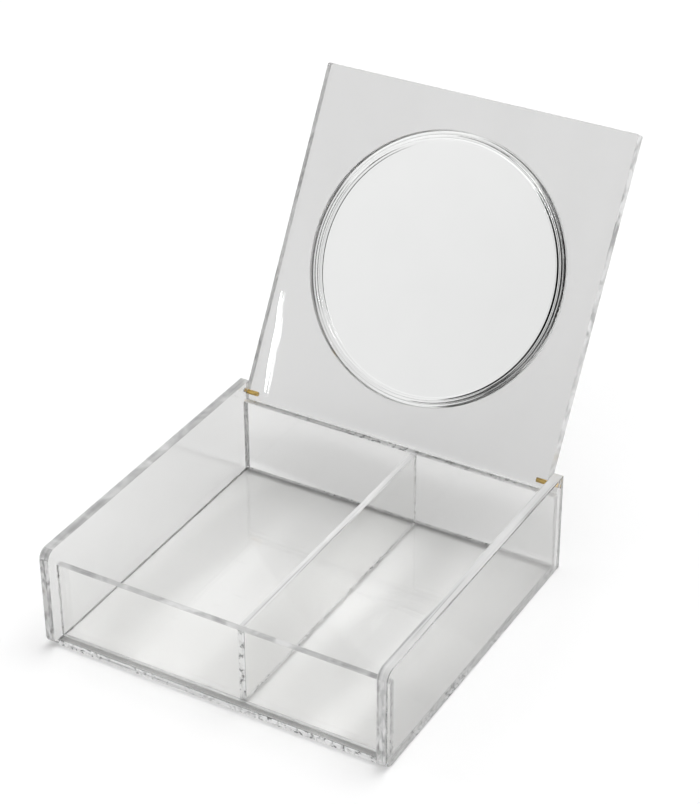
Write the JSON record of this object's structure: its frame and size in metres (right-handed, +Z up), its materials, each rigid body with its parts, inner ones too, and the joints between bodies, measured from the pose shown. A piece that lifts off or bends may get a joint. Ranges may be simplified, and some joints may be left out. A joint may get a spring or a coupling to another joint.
{
  "type": "makeup train case",
  "caption": "Open-topped clear acrylic cosmetic box with divided storage and a hinged clear lid that carries a round bevelled mirror.",
  "frame": {"origin": "on the underside, midway between the side panels and midway along them", "axes": "+X to the right seen from the front, +Y to the back where the lid is hinged, +Z up"},
  "size_m": [0.17, 0.2423, 0.1849],
  "materials": {
    "clear_acrylic": "polished",
    "mirror_glass": "polished",
    "adhesive": "matte",
    "brass": "polished"
  },
  "bodies": {
    "case": {"bottom_panel": "clear_acrylic", "side_panel_left": "clear_acrylic", "side_panel_right": "clear_acrylic", "front_panel": "clear_acrylic", "back_panel": "clear_acrylic", "divider": "clear_acrylic"},
    "lid": {"lid": "clear_acrylic", "mirror_adhesive": "adhesive", "mirror": "mirror_glass", "hinge_pin_left": "brass", "hinge_pin_right": "brass"}
  },
  "joints": [
    {"name": "lid_hinge", "type": "hinge", "parent": "case", "child": "lid", "pos_m": [0, 0.079, 0.0454], "axis": [1, 0, 0], "range_deg": [0, 120]}
  ]
}
